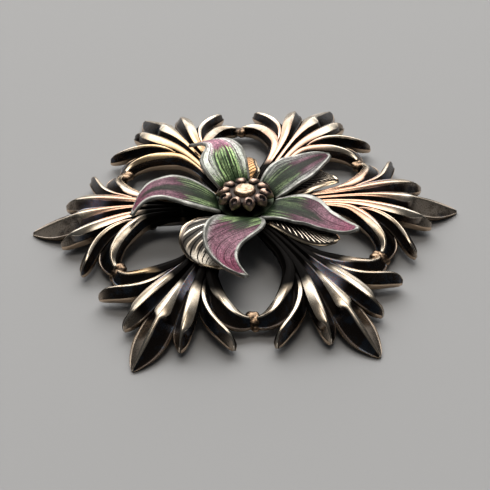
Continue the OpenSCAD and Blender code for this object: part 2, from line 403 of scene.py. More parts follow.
# Grain of the finishes: how often it comes in a metre, detail and roughness.
CLOUD, FINE = (420, 5, 0.6), (5200, 3, 0.6)
PATINA_CLOUD, FILM_CLOUD = (620, 4, 0.65), (5200, 4, 0.8)
METAL_CLOUD, SCRATCHES = (500, 5, 0.6), (6000, 3, 0.6)
DRIFT, MOTTLE, ENAMEL_GRAIN = (260, 3, 0.5), (1300, 4, 0.65), (5200, 3, 0.7)
RIM_CLOUD, RIM_DENTS = (700, 4, 0.6), (4200, 3, 0.6)
BRONZE_CLOUD, BRONZE_GRAIN = (1500, 5, 0.65), (7000, 3, 0.6)

BRIGHT_SILVER, WARM_SILVER = (0.78, 0.69, 0.57), (0.6, 0.49, 0.37)
LIP_SILVER = (0.6, 0.45, 0.32)
BROWN_PATINA, BLUE_PATINA = (0.052, 0.04, 0.034), (0.06, 0.07, 0.088)
LIT_TIP_BROWN, TIP_GREY = (0.42, 0.345, 0.275), (0.5, 0.43, 0.36)
# Black of patina, also laid as painted shade wherever the dark masks below carry painted shade.
BLACK_PATINA_AND_SHADE = (0.005, 0.004, 0.0035)
FILM_COLOURS = (
    (0.38, (1, 0.72, 0.38)), (0.43, (0.98, 0.56, 0.48)), (0.47, (0.72, 0.5, 0.78)),
    (0.51, (0.36, 0.55, 0.9)), (0.55, (0.5, 0.82, 0.95)), (0.6, (1, 0.8, 0.74)))

# Where heat and age coloured the silver, and one spot of painted shade: direction, distance out
# and reach. A film lies only on the side of a leaf that faces its palmette's axis (1) or on the
# other (-1). On a middle leaf these are the clockwise side and the other. Then the height of the
# spots, how ragged their edge is and where it begins and ends, in shares of their reach.
SPOT_HEIGHT, SPOT_RAGGED, SPOT_EDGE = 12, 0.4, (1.2, 0.7)
FILM_SPOTS = ((237, 58, 11, -1), (307, 57, 12, 1), (182, 74, 13, 1), (8, 62, 12, -1))
ROSY_SPOTS = ((4, 50, 26), (62, 48, 26), (120, 44, 20), (178, 60, 16))
ROSY_SILVER = (0.72, 0.42, 0.29)
# Painted shade: a dark patch on the leaves that lie under the left petal.
PAINTED_SHADE_SPOT = (186, 38, 15)
GOLDEN_SPOTS = ((132, 52, 26), (218, 56, 14))
GOLDEN_SILVER = (0.66, 0.44, 0.22)

# How far out the roots of the front leaves are black, as patina and painted shade of the flower,
# how much less far behind, and where along Y that changes. Then where the outward faces of leaf
# tips take painted reflected light, how far to the sides the outermost tips lie, and where a
# leaf's shoulder and lip are across its sheet, from the crest.
ROOT_PATINA_AND_SHADE, LESS_BEHIND, BEHIND = (60, 67), 28, (-30 * U, -6 * U)
PAINTED_LIT_TIPS, SIDE_TIPS = (77, 82), (74 * U, 80 * U)
SHOULDER_AT = len(ROOF_COLUMNS) / (2 * HALF_COLUMNS)
LIP_AT = (0.43, 0.455)


def silver_finish(name, fluted):
    """Oxidised silver. On the fluted leaves the roofs, crests and lips are polished bright."""
    m = Finish(name)
    place, u, _, out = m.places()
    x, y, _ = m.node("ShaderNodeSeparateXYZ", {0: place}).outputs
    cloud, fine = m.noise(place, *CLOUD), m.noise(place, *FINE)

    def spot(direction, far, reach):
        turned = math.radians(direction)
        middle = (far * U * math.cos(turned), far * U * math.sin(turned), SPOT_HEIGHT * U)
        gap = m.plus(m.vector("DISTANCE", place, middle), m.times(cloud, SPOT_RAGGED * reach * U))
        return m.step(gap, *(share * reach * U for share in SPOT_EDGE))

    # Dark: patina in the hollows and over the roots, with painted shade of the flower over the roots
    # (reaching further out on the front leaves) and a painted shade spot.
    clouded = m.plus(out, m.step(y, *BEHIND, 0, LESS_BEHIND), m.times(cloud, 8))
    dark = m.most(m.crevice(6, 0.3, 0.75), m.step(clouded, *ROOT_PATINA_AND_SHADE, 1, 0), spot(*PAINTED_SHADE_SPOT))
    polished = m.mix(m.step(cloud, 0.4, 0.65), BRIGHT_SILVER, WARM_SILVER)
    for spots, tint in ((ROSY_SPOTS, ROSY_SILVER), (GOLDEN_SPOTS, GOLDEN_SILVER)):
        for where in spots:
            share = m.times(spot(*where), m.step(fine, 0.2, 0.6, 0.45, 0.9))
            polished = m.mix(share, polished, tint)
    patina = m.mix(m.step(m.noise(place, *PATINA_CLOUD), 0.48, 0.62), BROWN_PATINA, BLUE_PATINA)
    rough = m.plus(m.times(fine, 0.1), 0.15)
    film = beside = 0.0
    if fluted:
        across = m.size(m.minus(u, 0.5))
        blurred = m.plus(across, m.times(m.minus(cloud, 0.5), 0.05))
        worn = m.times(m.step(blurred, SHOULDER_AT - 0.01, SHOULDER_AT + 0.02),
                       m.step(across, *LIP_AT, 1, 0))
        polished = m.mix(m.step(across, *LIP_AT), polished, LIP_SILVER)
        colour = m.mix(worn, polished, patina)

        # Painted reflected light: the outward faces of the outer leaf tips are coloured mid brown, as
        # if they caught the lit floor; the outermost tips at the sides are made greyer and duller.
        outward = m.times(m.minus(u, 0.5), x)
        painted_lit_tips = m.times(m.step(out, *PAINTED_LIT_TIPS), m.step(outward, 0.2 * MM, -0.2 * MM), worn)
        beside = m.times(worn, m.step(m.size(x), *SIDE_TIPS), m.step(cloud, 0.36, 0.6, 0.15, 1.0))
        share = m.times(m.most(painted_lit_tips, beside), 0.8)
        colour = m.mix(share, colour, m.mix(beside, LIT_TIP_BROWN, TIP_GREY))

        for *where, side in FILM_SPOTS:
            half = m.step(u, 0.5 - 0.01 * side, 0.5 + 0.01 * side)
            film = m.most(film, m.times(spot(*where), half))
        film = m.times(film, m.step(blurred, SHOULDER_AT - 0.05, SHOULDER_AT),
                       m.step(cloud, 0.25, 0.45, 0.7, 1.0))
        rough = m.plus(rough, m.times(film, 0.28))
        dark = m.times(dark, m.minus(1.0, film))
        colour = m.mix(film, colour, m.ramp(m.noise(place, *FILM_CLOUD), FILM_COLOURS))
    else:
        worn = m.step(cloud, 0.35, 0.7)
        colour = m.mix(worn, polished, patina)
    dull = m.most(dark, m.times(film, 0.9), m.times(beside, 0.5))
    m.set(Base_Color=m.mix(dark, colour, BLACK_PATINA_AND_SHADE), Specular_IOR_Level=0.03)
    m.set(Metallic=m.minus(1.0, dull))
    m.set(Roughness=m.plus(rough, m.times(dark, 0.35), m.times(worn, 0.08)))
    m.set(Normal=m.bump(m.plus(fine, m.times(cloud, 2)), 0.004, 0.5))
    return m.material


def plain_metal(name, colour, roughness):
    """Worn metal with fine scratches, darker in its crevices."""
    m = Finish(name)
    place = m.places()[0]
    cloud, fine = m.noise(place, *METAL_CLOUD), m.noise(place, *SCRATCHES)
    dull, dark = (tuple(part * share for part in colour) for share in (0.7, 0.35))
    base = m.mix(m.step(cloud, 0.35, 0.7), colour, dull)
    m.set(Metallic=1.0, Base_Color=m.mix(m.crevice(3, 0.25, 0.8), base, dark))
    m.set(Roughness=m.plus(m.times(fine, 0.15), roughness))
    m.set(Normal=m.bump(fine, 0.004, 0.6))
    return m.material


def lumpy_metal(name, tone_and_painted_light, dark, lumps):
    """Rough cast metal, bright on its small lumps and dark between them."""
    m = Finish(name)
    cloud = m.noise(m.places()[0], lumps, 5, 0.7)
    low = m.most(m.crevice(3, 0.3, 0.85), m.step(cloud, 0.56, 0.42))
    m.set(Metallic=1.0, Base_Color=m.mix(low, tone_and_painted_light, dark))
    m.set(Roughness=m.step(cloud, 0.3, 0.7, 0.4, 0.24))
    m.set(Normal=m.bump(cloud, 0.1, 0.8))
    return m.material


# Enamel past the green base of a petal, by the share of the way on to its tip.
ENAMEL_BODY = (
    (0, (0.045, 0.02, 0.029)), (0.12, (0.125, 0.042, 0.07)), (0.26, (0.27, 0.14, 0.18)),
    (0.5, (0.26, 0.112, 0.158)), (0.74, (0.24, 0.06, 0.11)), (0.92, (0.27, 0.095, 0.145)),
    (1, (0.36, 0.25, 0.28)))
ENAMEL_PALE, ENAMEL_VEIN = (0.42, 0.425, 0.405), (0.022, 0.004, 0.01)
ENAMEL_LEAF, ENAMEL_DARK_AND_SHADE = (0.185, 0.26, 0.12), (0.014, 0.026, 0.012)
# Streaks over a petal's width and length, and how close the dots of its ground are.
BROAD_STREAKS, THIN_STREAKS = (9, 1.2), (30, 2.0)
DOTS_ACROSS, DOTS_ALONG = 150, 300
# One row for each petal: width of the pale margins on the two sides as a share of the
# petal's width, how far the green reaches, how far its dark tongue does, where the tongue
# lies across, how much painted light or shade brightens or darkens the petal at its base and
# at its tip, how far its veins lean to the clockwise side, and how many there are.
PALE_CCW, PALE_CW, GREEN, TONGUE, TONGUE_AT, PAINTED_LIGHT, PAINTED_TIP_LIGHT, LEAN, VEINS = range(9)
ENAMELS = (
    (0.1, 0.17, 0.27, 0.42, 0.4, 1.3, 1.35, 1.5, 3.6),
    (0.06, 0.06, 0.26, 0.6, 0.45, 0.95, 1.15, 0.25, 5),
    (0.26, 0.24, 0.42, 0.92, 0.5, 0.9, 0.55, 0.0, 5),
    (0.28, 0.24, 0.42, 0.22, 0.55, 3.9, 1.3, 0.0, 5),
    (0.12, 0.12, 0.3, 0.86, 0.45, 1.1, 1.05, 0.0, 5))


def enamel_finish(number, pattern):
    """Clear enamel over a finely engraved ground: green, then mauve and plum, with dark veins."""
    m = Finish(f"petal_enamel_{number}")
    place, u, v, _ = m.places()
    drift, mottle, grain = (m.noise(place, *kind) for kind in (DRIFT, MOTTLE, ENAMEL_GRAIN))
    across = m.plus(u, m.times(m.minus(drift, 0.5), 0.1))
    leaning = m.minus(across, m.times(v, pattern[LEAN]))

    def streaks(wide, long):
        lines = m.node("ShaderNodeCombineXYZ", {
            0: m.times(leaning, wide), 1: m.times(v, long), 2: float(number)})
        return m.noise(lines.outputs[0], 1.0, 3, 0.6)

    broad, thin = streaks(*BROAD_STREAKS), streaks(*THIN_STREAKS)
    shift = m.plus(m.times(m.minus(broad, 0.5), 0.45), m.times(m.minus(thin, 0.5), 0.35))
    along = m.plus(v, shift)
    green_to = pattern[GREEN]
    past = m.math("DIVIDE", m.minus(along, green_to), 1 - green_to)
    leaf = m.mix(m.step(thin, 0.44, 0.56), ENAMEL_LEAF, ENAMEL_DARK_AND_SHADE)
    # Painted shade: the base of the petal is darkened where the boss and its anthers shadow it.
    leaf = m.mix(m.step(v, 0.03, 0.14, 1, 0), leaf, ENAMEL_DARK_AND_SHADE)
    green = m.step(along, green_to + 0.05, green_to - 0.05)
    ground = m.mix(green, m.ramp(past, ENAMEL_BODY), leaf)

    left, right = pattern[PALE_CCW], pattern[PALE_CW]
    pale = m.most(m.step(across, left + 0.05, left - 0.08),
                  m.step(across, 0.95 - right, 1.08 - right))
    pale = m.times(pale, m.step(thin, 0.35, 0.55, 1.0, 0.6), m.step(v, 0.05, 0.2))
    ground = m.mix(pale, ground, ENAMEL_PALE)

    far = pattern[TONGUE]
    tongue = m.step(m.size(m.minus(across, pattern[TONGUE_AT])), 0.17, 0.07)
    tongue = m.times(tongue, m.step(along, far, far - 0.15), 0.92)
    ground = m.mix(tongue, ground, ENAMEL_DARK_AND_SHADE)

    vein = m.step(m.size(m.wave(m.times(leaning, math.pi * pattern[VEINS]))), 0.2, 0.09)
    edge = m.step(m.size(m.minus(across, 0.5)), 0.44, 0.38)
    vein = m.times(vein, m.step(v, 0.15, 0.3), edge, m.step(mottle, 0.34, 0.48), 0.95)
    ground = m.mix(vein, ground, ENAMEL_VEIN)

    dots = m.times(m.wave(m.times(u, DOTS_ACROSS)), m.wave(m.times(v, DOTS_ALONG)))
    # Brightness of the enamel: its dots, grain, mottling and streaks, with painted light or shade for
    # each petal and painted shade in crevices.
    tone_and_painted_light = m.times(
        m.plus(m.times(dots, 0.18), m.step(grain, 0.3, 0.7, 0.55, 1.45)),
        m.step(mottle, 0.3, 0.7, 0.75, 1.25), m.step(thin, 0.35, 0.65, 1.3, 0.7),
        m.step(v, 0.35, 0.85, pattern[PAINTED_LIGHT], pattern[PAINTED_TIP_LIGHT]), m.crevice(5, 0.2, 0.8, 0.15, 1))
    shown = m.node("ShaderNodeHueSaturation", {"Color": ground, "Value": tone_and_painted_light}).outputs[0]
    m.set(Base_Color=shown, Metallic=0.0, Roughness=m.step(grain, 0.3, 0.7, 0.3, 0.46))
    m.set(Coat_Weight=0.04, Coat_Roughness=0.15, Specular_IOR_Level=0.08)
    m.set(Normal=m.bump(m.plus(m.times(dots, 0.5), grain), 0.01, 0.7))
    return m.material


RIM_PALE, RIM_DULL, RIM_BLACK = (0.56, 0.56, 0.52), (0.26, 0.26, 0.235), (0.03, 0.03, 0.025)


def rim_finish():
    """Frosted pale edge of a petal, with small dents."""
    m = Finish("rim_silver")
    place = m.places()[0]
    cloud, fine = m.noise(place, *RIM_CLOUD), m.noise(place, *RIM_DENTS)
    colour = m.mix(m.step(cloud, 0.35, 0.65), RIM_PALE, RIM_DULL)
    m.set(Metallic=0.55, Base_Color=m.mix(m.crevice(4, 0.2, 0.75), colour, RIM_BLACK))
    m.set(Roughness=m.step(fine, 0.3, 0.7, 0.36, 0.55))
    m.set(Normal=m.bump(m.plus(fine, m.times(cloud, 2)), 0.03, 0.8))
    return m.material


# Engraved strokes of a calyx leaf: how many, how far they lean over the leaf's width,
# whether they fan out from the middle, the width of the cuts, and the share of the
# leaf's length from its base that is darkened as painted shade of the petal above.
FANNED = (12, 0.55, True, 0.45, 0.0)
# Painted shade: the hatched leaf is darkened over most of its length from the base, and the fanned dark
# leaf all over, with cuts so wide that only thin bright lines are left.
HATCHED = (5, 2.2, False, 0.34, 0.72)
SHADED_FANNED = (14, 0.75, True, 0.93, 1.5)


def engraved_finish(name, strokes, bright=BRIGHT_SILVER, worn=WARM_SILVER, metallic=1.0):
    """Polished warm silver with dark engraved strokes, fanned from the middle or all one way."""
    count, lean, fanned, wide, shaded_to = strokes
    m = Finish(name)
    place, u, v, _ = m.places()
    cloud, fine = m.noise(place, *CLOUD), m.noise(place, *FINE)
    centred = m.minus(u, 0.5)
    side = m.size(centred)
    fan = m.minus(v, m.times(side if fanned else centred, lean))
    stroke = m.size(m.wave(m.times(fan, math.pi * count)))
    cut = m.times(m.step(stroke, wide + 0.03, wide - 0.12), m.step(side, 0.45, 0.41))
    if fanned:
        cut = m.times(cut, m.step(side, 0.02, 0.05))
    clouded = m.plus(v, m.times(cloud, 0.15))
    # Painted shade of the petal above, over the part of the leaf nearest its base except on the bright
    # lines, and in the leaf's crevices.
    shade = m.times(m.step(clouded, shaded_to + 0.12, shaded_to + 0.02), m.step(stroke, 1.0, 0.94), 0.93)
    dark = m.most(m.crevice(9, 0.3, 0.62), shade, cut)
    colour = m.mix(m.step(cloud, 0.4, 0.65), bright, worn)
    m.set(Metallic=metallic, Base_Color=m.mix(dark, colour, BLACK_PATINA_AND_SHADE), Specular_IOR_Level=0.3)
    m.set(Roughness=m.plus(m.times(fine, 0.1), 0.22, m.times(dark, 0.25)))
    m.set(Normal=m.bump(m.minus(m.times(fine, 0.05), cut), 0.05, 0.8))
    return m.material


BRONZE_BRIGHT, BRONZE_DULL = (0.62, 0.43, 0.33), (0.2, 0.145, 0.125)
BRONZE_BLACK = (0.022, 0.024, 0.032)


def bronze_finish():
    """Pinkish bronze, worn bright on the swellings and black in the hollows."""
    m = Finish("stamen_bronze")
    place = m.places()[0]
    cloud, fine = m.noise(place, *BRONZE_CLOUD), m.noise(place, *BRONZE_GRAIN)
    hidden = m.crevice(2.6, 0.56, 0.99)
    colour = m.mix(m.step(cloud, 0.35, 0.65), BRONZE_BRIGHT, BRONZE_DULL)
    m.set(Base_Color=m.mix(hidden, colour, BRONZE_BLACK), Specular_IOR_Level=0.1)
    m.set(Metallic=m.minus(1.0, m.times(hidden, 0.8)))
    m.set(Roughness=m.plus(m.times(fine, 0.2), m.times(hidden, 0.3), 0.26))
    m.set(Normal=m.bump(m.plus(fine, m.times(cloud, 2)), 0.03, 0.8))
    return m.material


leaf_silver = silver_finish("frame_silver", fluted=True)
plain_silver = silver_finish("frame_silver_plain", fluted=False)
solder = lumpy_metal("solder_bronze", (0.34, 0.23, 0.15), (0.05, 0.035, 0.025), 900)
boss_black = plain_metal("boss_black", (0.05, 0.04, 0.035), 0.4)
hatched_silver = engraved_finish(
    "calyx_silver_hatched", HATCHED, (0.92, 0.84, 0.72), (0.8, 0.68, 0.54), metallic=0.6)
shaded_calyx = engraved_finish("calyx_silver_shaded", SHADED_FANNED)
golden_calyx = engraved_finish("calyx_silver_golden", FANNED, (0.55, 0.33, 0.15), (0.42, 0.22, 0.1))
calyx_tops = [hatched_silver, shaded_calyx, shaded_calyx, golden_calyx, golden_calyx]
rim_silver = rim_finish()
calyx_rim = plain_metal("calyx_rim", (0.62, 0.5, 0.36), 0.12)
back_silver = plain_metal("back_silver", (0.16, 0.13, 0.11), 0.25)
bronze = bronze_finish()
button_gold = lumpy_metal("button_gold", (0.62, 0.47, 0.33), (0.3, 0.2, 0.14), 1500)
steel = plain_metal("pin_steel", (0.2, 0.18, 0.16), 0.3)
enamels = [enamel_finish(i + 1, pattern) for i, pattern in enumerate(ENAMELS)]
# Green enamel of the ring under the boss, made near black and darker in its crevices as painted shade.
ring_enamel_in_shade = plain_metal("ring_enamel_in_shade", (0.035, 0.045, 0.028), 0.35)


def dress(pieces, node, materials=()):
    """Gives pieces their finish and puts them in the place of a node of the frame."""
    for piece in pieces:
        for material in materials:
            piece.data.materials.append(material)
        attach(piece, "root")
        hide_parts(node)


def half_section(width, rise, roof):
    """Place across and height, both in shares, of the columns from a crest to its edge."""
    shoulder = max(1 - ROOF_SLOPE * roof * width / rise, LEAST_SHOULDER)
    hollow = min(max((roof - HOLLOW_FROM) / (HOLLOW_TO - HOLLOW_FROM), 0), 1)
    section = [(share * roof, 1 - (1 - shoulder) * fall) for share, fall in ROOF_COLUMNS]
    for across, deep, flat in WALL_COLUMNS:
        section.append((roof + (1 - roof) * across, shoulder * (flat + (deep - flat) * hollow)))
    return section


def model_leaf(name, table):
    """One leaf along +Y: a sheet bent into a crest and two faces, closed by a flat underside."""
    leaf, flat, rows = start_sheet(name, 2 * HALF_COLUMNS + 1, LEAF_ROWS)
    bpy.ops.mesh.duplicate()
    bpy.ops.mesh.flip_normals()
    under = [[i + len(flat) for i in row] for row in rows]

    for k, (row, below) in enumerate(zip(rows, under)):
        t = k / (LEAF_ROWS - 1)
        spot = [curve_value(table, column, t) for column in range(len(table[0]))]
        ahead, behind = min(t + HEADING_STEP, 1), max(t - HEADING_STEP, 0)
        heading = math.atan2(*(
            curve_value(table, column, ahead) - curve_value(table, column, behind)
            for column in (SIDE, OUT)))
        centre = (0, flat[row[0]].y, 0)
        rise = spot[CREST] - spot[EDGE]
        pick(leaf, [row[HALF_COLUMNS]])
        move((0, 0, rise * U))
        for side, width, roof in ((-1, spot[OUTER], spot[OUT_ROOF]), (1, spot[INNER], spot[IN_ROOF])):
            for c, (across, height) in enumerate(half_section(width, rise, roof), start=1):
                column = row[HALF_COLUMNS + side * c]
                pick(leaf, [column])
                move((side * across * width * U - flat[column].x, 0, height * rise * U))
            pick(leaf, [foot for foot, top in zip(below, row) if flat[top].x * side > OFF_AXIS])
            stretch((FOOT_SHARE * width * U, 1, 1), centre)
        pick(leaf, below)
        move((0, 0, (spot[UNDER] - spot[EDGE]) * U))
        pick(leaf, row + below)
        turn(math.degrees(heading), centre=centre)
        move((-spot[SIDE] * U, spot[OUT] * U - centre[1], spot[EDGE] * U))

    bpy.ops.mesh.select_non_manifold(extend=False)
    bpy.ops.mesh.bridge_edge_loops()
    pick_all()
    bpy.ops.mesh.normals_make_consistent(inside=False)

    shape = bmesh.from_edit_mesh(leaf.data)
    shape.edges.ensure_lookup_table()

    def along(places):
        wanted = [{row[HALF_COLUMNS + side * c] for row in rows} for c in places for side in (-1, 1)]
        return [e.index for e in shape.edges
                if any(e.verts[0].index in w and e.verts[1].index in w for w in wanted)]

    for places, crease in (([0], CREST_CREASE), ([len(ROOF_COLUMNS)], SHOULDER_CREASE),
                           ([HALF_COLUMNS - 1, HALF_COLUMNS], LIP_CREASE)):
        pick(leaf, edges=along(places))
        bpy.ops.transform.edge_crease(value=crease)
    return leaf


def mirrored(leaf, name):
    twin = copy_piece(leaf, name)
    edit(twin)
    stretch((-1, 1, 1))
    bpy.ops.mesh.normals_make_consistent(inside=False)
    return twin


def model_palmettes():
    """Seven leaves make a palmette along +X, which is copied round the hub."""
    leaves = [model_leaf("middle_leaf", MIDDLE_LEAF)]
    for name, table in (("flank_leaf", FLANK_LEAF), ("stub_leaf", STUB_LEAF), ("link_leaf", LINK_LEAF)):
        leaf = model_leaf(name, table)
        leaves += [leaf, mirrored(leaf, name + "_twin")]
    first = join(leaves, "palmette_1")
    apply_modifier(first, "SUBSURF", levels=1, render_levels=1)
    turn_piece(first, -90)
    palmettes = [first]
    for i in range(1, ARMS):
        palmettes.append(copy_piece(first, f"palmette_{i + 1}"))
        turn_piece(palmettes[i], i * ARM_TURN)
    for palmette in palmettes:
        smooth(palmette)
    return palmettes


palmettes = model_palmettes()
dress(palmettes, "frame", [leaf_silver])


# Hub under the flower, the post that carries it, and the solder where palmettes meet.
HUB_RADIUS, HUB_BOTTOM, HUB_TOP, HUB_BEVEL = 16, 9.0, 11.5, 0.5
POST_RADIUS = 0.9 * MM
POST_BOTTOM, POST_TOP, POST_BEVEL = 9.9, 19.4, 0.6
# Blobs of a solder knot: how far out, to the side and up each is, and its three radii.
BLOBS = (
    (65.4, -1.3, 5.6, (3.1, 2.6, 2.5)), (66.9, 1.5, 5.1, (2.9, 2.5, 2.3)),
    (67.6, -0.4, 5.0, (2.4, 2.6, 1.9)), (69.7, 0.6, 3.7, (2.0, 2.1, 1.7)),
    (64.6, 0.9, 6.2, (1.8, 1.7, 1.5)))
BLOB_ROUGHNESS, KNOT_VOXEL = 0.05, 0.45


def model_drum(name, vertices, radius, bottom, top, ends, bevel, segments=3):
    """A round piece that stands on the axis, with rounded edges at one end or both."""
    drum = start_cylinder(name, vertices, radius, (top - bottom) * U, bottom * U)
    pick_ends(drum, *ends)
    bpy.ops.mesh.bevel(offset=bevel * U, segments=segments)
    smooth(drum)
    return drum


def model_knot(number):
    """A lump of solder: melted blobs run together between two palmettes."""
    blobs = []
    for k, (*place, radii) in enumerate(BLOBS):
        blobs.append(start("blob", bpy.ops.mesh.primitive_ico_sphere_add, subdivisions=4, radius=1))
        stretch([r * U for r in radii])
        bpy.ops.transform.vertex_random(offset=BLOB_ROUGHNESS * U, seed=10 * number + k)
        bpy.ops.mesh.vertices_smooth(factor=0.5, repeat=2)
        move([part * U for part in place])
    knot = join(blobs, f"solder_{number + 1}")
    apply_modifier(knot, "REMESH", mode="VOXEL", voxel_size=KNOT_VOXEL * U, use_smooth_shade=True)
    apply_modifier(knot, "SMOOTH", factor=0.5, iterations=6)
    turn_piece(knot, (number + 0.5) * ARM_TURN)
    return knot


hub = model_drum("hub", 96, HUB_RADIUS * U, HUB_BOTTOM, HUB_TOP, (1, -1), HUB_BEVEL)
post = model_drum("post", 48, POST_RADIUS, POST_BOTTOM, POST_TOP, (1,), POST_BEVEL)
knots = [model_knot(i) for i in range(ARMS)]
dress([hub, post], "frame", [plain_silver])
dress(knots, "frame", [solder])


# Petals and calyx leaves. A blade's columns: distance out, half width, how far it has
# risen to its crown, and whether it is falling to its tip again.
START_OUT, HALF, ARCH, FALLS = range(4)
PETAL_BLADE = (
    (12, 8, 0, 0), (17, 9.2, 0.42, 0), (23, 9.8, 0.78, 0), (29, 9.8, 0.97, 0), (35, 8.8, 1, 1),
    (41, 7.2, 0.86, 1), (46, 5.4, 0.58, 1), (50, 3.4, 0.22, 1), (52.5, 1, 0, 1))
CALYX_BLADE = (
    (12, 7, 0, 0), (18, 8.6, 0.5, 0), (25, 10, 0.9, 0), (32, 10.8, 1, 1), (38, 10.6, 0.85, 1),
    (43, 9.2, 0.55, 1), (46.5, 6.8, 0.25, 1), (49, 2.6, 0, 1))

# One row for each leaf of a whorl: turn round the axis, height of crown and tip,
# sideways hook of the tip and bow of the middle, cupping and twist, reach and width,
# extra width towards the base and towards the tip on the clockwise and on the other
# side, and width of the rim.
(TURN, CROWN, TIP, HOOK, BOW, CUP, TWIST, REACH, WIDE, BASE_CW, BASE_CCW, END_CW, END_CCW,
 RIM) = range(14)
PETALS = (
    (-97.6, 22.3, 19.1, 5.8, -6.2, 2.1, -1.9, 1.08, 0.98, 0.11, 0.31, 0.04, -0.04, 1),
    (-34.8, 17.2, 19, 3.2, -0.6, 0.2, -0.2, 1.1, 0.98, -0.4, 0.58, -0.55, 0.26, 1.2),
    (27.4, 18.8, 21.1, -0.3, 2.3, -0.4, -1.2, 0.85, 0.94, 0.07, 0.38, 0.22, 0.25, 0.9),
    (110.5, 22.4, 16.4, 9.4, -1.3, 0.8, 0.2, 0.86, 1, 0, 0.29, -0.1, -0.22, 0.8),
    (188.2, 23.7, 19.1, 5.9, -5.8, -1, 0.2, 1.01, 0.86, 0.37, 0.27, 0.17, 0, 1.3))
CALYX_LEAVES = (
    (-108.6, 17.6, 15, -2.3, -0.8, 0.8, -2.7, 0.98, 1.31, 0.23, -0.45, 0.33, -0.4, 0.7),
    (-41.7, 14.6, 15.7, 1.6, -0.6, -0.6, -0.5, 1.06, 0.65, 0.11, -0.37, 0.04, 0.13, 1.2),
    (19.9, 14.6, 16.2, -6.7, 2.5, 0.6, 0.1, 0.87, 0.74, 0.28, 0, 0.23, -0.17, 2.2),
    (95.1, 15.6, 14, -5.6, -1.7, 0, 0.4, 0.52, 0.82, 0.15, 0, -0.12, 0, 1.5),
    (167.6, 15.6, 15, 1, 0, 0.2, 0, 0.85, 0.7, 0, 0, 0, 0, 1.1))

CALYX_BASE, CALYX_THICK = 2.844 * MM, 0.35 * MM
PETAL_BASE, PETAL_THICK = 3.254 * MM, 0.45 * MM
BLADE_COLUMNS, BLADE_ROWS = 17, 30
# How far in the step between face and rim is set, how the hook gathers at the tip, how
# soon the cupping is at its most, and where the swellings of base and tip end and begin.
STEP_PLACE = 1.14
HOOK_POWER = 8
CUP_PACE, SWELL_PACE, SWELL_START = 1.15, 1.6, 0.6
LEAST_HALF = 0.5
# Rise of the rim's inner and outer line, thickness of the sheet, and which of the
# materials the step between face and rim has.
PETAL_BORDER = (0.05 * MM, 0.05 * MM, 0.38 * MM, 1)
CALYX_BORDER = (-0.17 * MM, -0.23 * MM, 0.12 * MM, 2)


def model_blade(name, table, leaf, base, thick, border, materials):
    """One petal or calyx leaf: a sheet arched from the ring to its crown and down to its tip."""
    rim_inner, rim_outer, sheet, step = border
    blade, flat, rows = start_sheet(name, BLADE_COLUMNS, BLADE_ROWS)
    first, last = table[0][START_OUT], table[-1][START_OUT]
    crown, tip = leaf[CROWN] * U, leaf[TIP] * U
    inside = 1 / (1 - 2 / (BLADE_COLUMNS - 1))
    top = thick - max(rim_outer, 0)
    middle = BLADE_COLUMNS // 2

    for k, row in enumerate(rows):
        t = k / (BLADE_ROWS - 1)
        row_out = curve_value(table, START_OUT, t)
        share = (row_out - first) / (last - first)
        out = (first + (row_out - first) * leaf[REACH]) * U
        drift = (leaf[HOOK] * share ** HOOK_POWER + leaf[BOW] * math.sin(math.pi * share ** 2)) * U
        low = tip if curve_value(table, FALLS, t) > 0.5 else base
        height = low + (crown - low) * min(curve_value(table, ARCH, t), 1)
        lift = math.sin(math.pi * min(1, CUP_PACE * share)) * U
        wide = max(curve_value(table, HALF, t), LEAST_HALF) * leaf[WIDE] * U
        rim = min(leaf[RIM] * U, 0.5 * wide)
        centre = (0, flat[row[0]].y, 0)
        pick(blade, row[1:-1])
        stretch(((wide - rim) * inside, 1, 1), centre)
        pick(blade, [row[0], row[-1]])
        stretch((wide, 1, 1), centre)
        base_swell = math.sin(math.pi * min(share * SWELL_PACE, 1))
        end_swell = math.sin(math.pi * min(max(share * SWELL_PACE - SWELL_START, 0), 1))
        for part, base_extra, end_extra in (
                (row[:middle], leaf[BASE_CCW], leaf[END_CCW]),
                (row[middle + 1:], leaf[BASE_CW], leaf[END_CW])):
            pick(blade, part)
            stretch((1 + base_extra * base_swell + end_extra * end_swell, 1, 1), centre)
        pick(blade, [row[2], row[-3]])
        stretch((STEP_PLACE, 1, 1), centre)
        pick(blade, [row[1], row[-2]])
        move((0, 0, rim_inner))
        pick(blade, [row[0], row[-1]])
        move((0, 0, rim_outer))
        for c in row:
            across = flat[c].x
            pick(blade, [c])
            move((0, 0, (leaf[CUP] * across ** 2 - leaf[TWIST] * across) * lift))
        pick(blade, row)
        move((-drift, out - centre[1], height + top))
    to_object_mode()
    for face in blade.data.polygons:
        k, c = divmod(face.index, BLADE_COLUMNS - 1)
        edge = min(c, BLADE_COLUMNS - 2 - c)
        face.material_index = 1 if edge == 0 or k >= BLADE_ROWS - 3 else int(edge == 1) * step
    for material in materials:
        blade.data.materials.append(material)
    apply_modifier(blade, "SOLIDIFY", thickness=sheet, offset=-1, material_offset=2)
    turn_piece(blade, leaf[TURN] - 90)
    apply_modifier(blade, "SUBSURF", levels=1, render_levels=1)
    smooth(blade, 50)
    return blade


petals = [
    model_blade(f"petal_{i + 1}", PETAL_BLADE, leaf, PETAL_BASE, PETAL_THICK, PETAL_BORDER,
                [enamels[i], rim_silver, back_silver, back_silver])
    for i, leaf in enumerate(PETALS)]
calyx_leaves = [
    model_blade(f"calyx_leaf_{i + 1}", CALYX_BLADE, leaf, CALYX_BASE, CALYX_THICK, CALYX_BORDER,
                [calyx_tops[i], calyx_rim, back_silver, back_silver])
    for i, leaf in enumerate(CALYX_LEAVES)]
dress(petals, "corolla")
dress(calyx_leaves, "calyx")

RING_RADIUS = 13.2
POST_PLAY = 0.06 * MM


